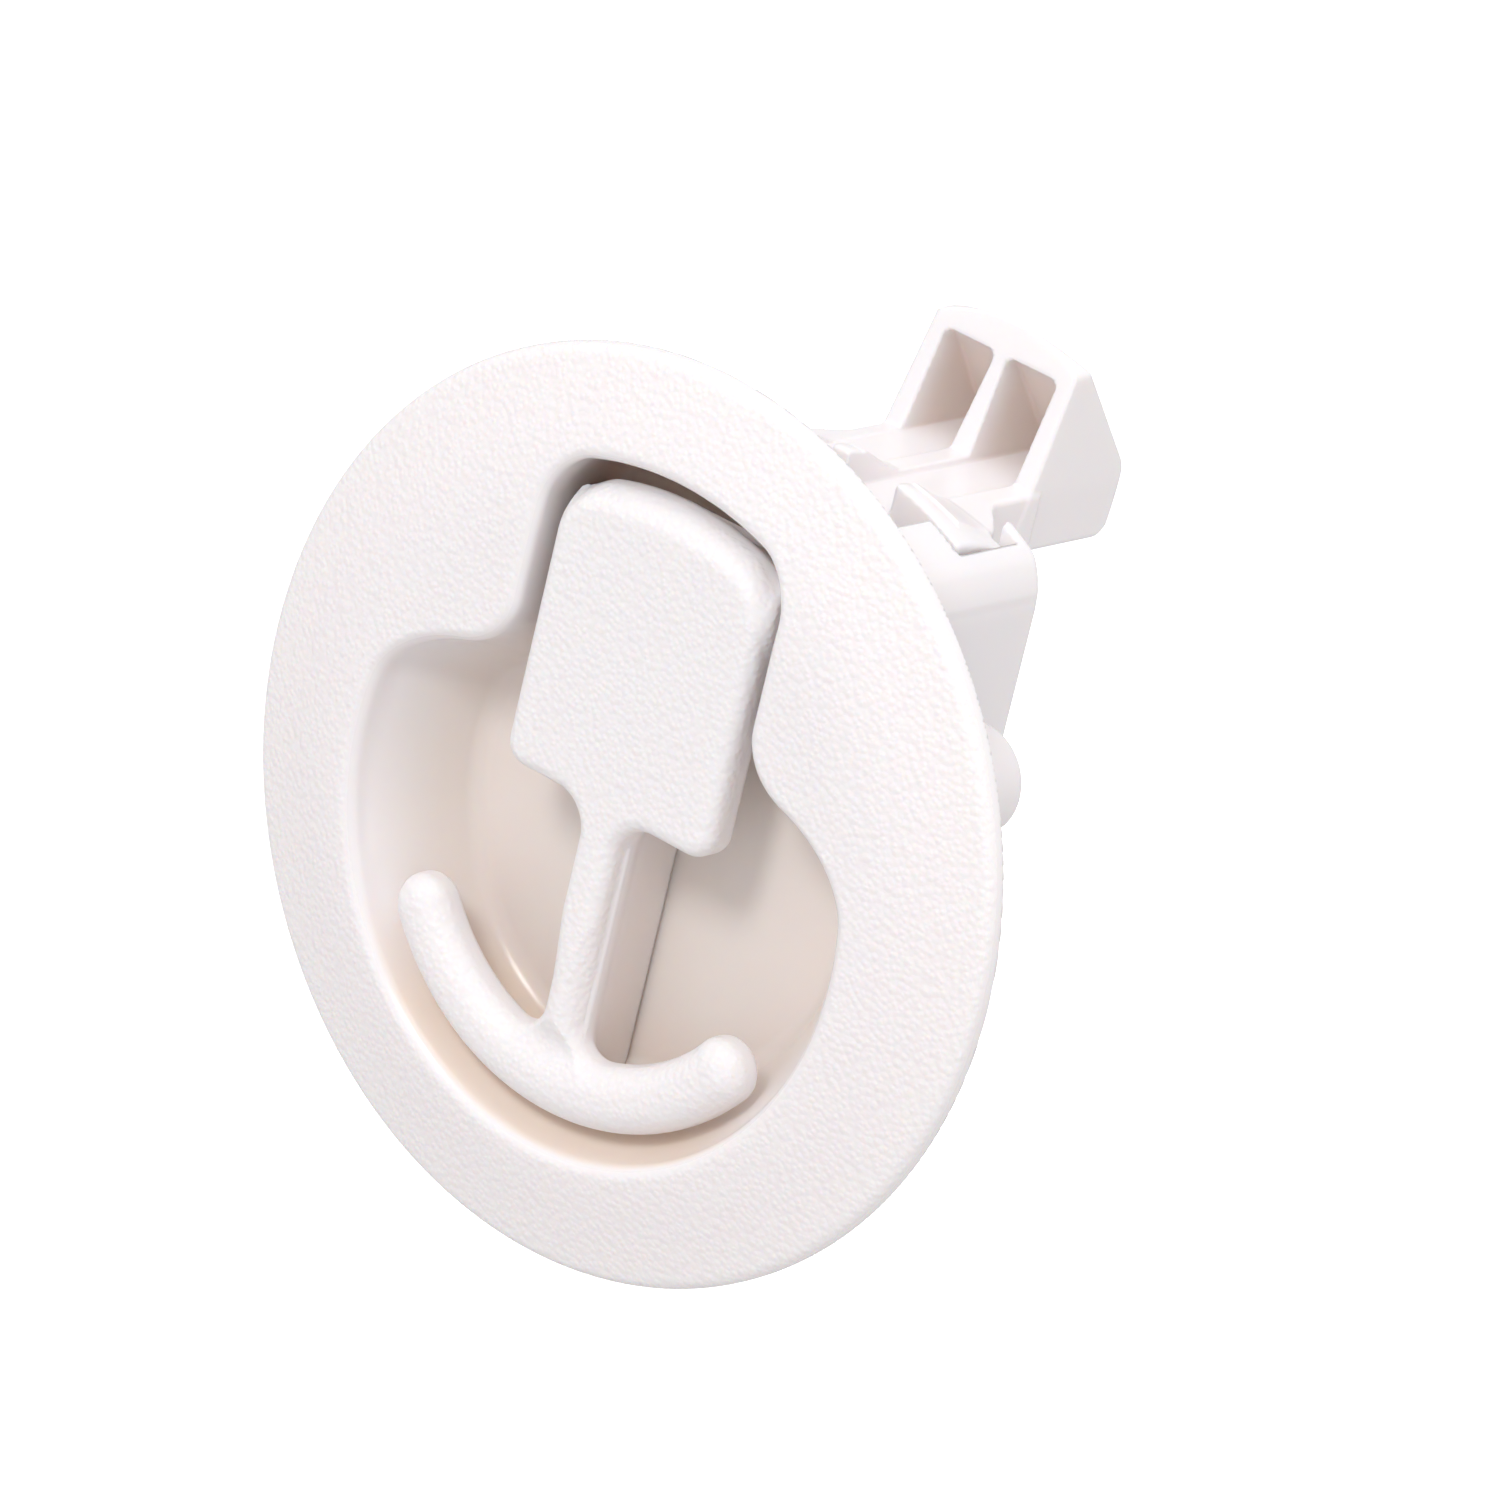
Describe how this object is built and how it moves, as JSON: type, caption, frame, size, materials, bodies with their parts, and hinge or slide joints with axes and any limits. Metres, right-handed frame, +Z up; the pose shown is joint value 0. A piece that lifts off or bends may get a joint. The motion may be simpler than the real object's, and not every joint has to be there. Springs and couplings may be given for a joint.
{
  "type": "flush pull latch",
  "caption": "Round flush-mounted pull latch with a T-handle in a finger cup that draws a sprung, ramped slam bolt down behind the panel.",
  "frame": {"origin": "centre of the barrel at the face of the bezel that seats on the panel", "axes": "+X right seen from the front, +Y back into the panel along the barrel's axis, +Z up towards the bolt"},
  "size_m": [0.064, 0.0411, 0.064],
  "materials": {
    "housing_plastic": "white moulded plastic, fine grain on the front, smooth inside the cup and behind",
    "handle_plastic": "white moulded plastic with a fine grain on the front",
    "bolt_plastic": "smooth white moulded plastic, slightly translucent",
    "pin_steel": "plain steel pin",
    "spring_steel": "spring wire"
  },
  "bodies": {
    "body": {"housing": "housing_plastic", "handle_pin": "pin_steel", "handle_spring": "spring_steel", "bolt_spring_left": "spring_steel", "bolt_spring_right": "spring_steel"},
    "handle": {"t_handle": "handle_plastic"},
    "bolt": {"slide_bolt": "bolt_plastic"}
  },
  "joints": [
    {"name": "handle_lift", "type": "hinge", "parent": "body", "child": "handle", "pos_m": [0, 0.00085, 0.0183], "axis": [-1, 0, 0], "range_deg": [0, 45], "stiffness_Nm_per_rad": 0.026, "springref_deg": -42.69},
    {"name": "bolt_slide", "type": "slide", "parent": "body", "child": "bolt", "axis": [0, 0, -1], "range_m": [0, 0.007], "deforming": ["bolt_spring_left", "bolt_spring_right"]}
  ],
  "couplings": [
    {"joint": "bolt_slide", "follows": "handle_lift", "m_per_rad": 0.00891}
  ]
}
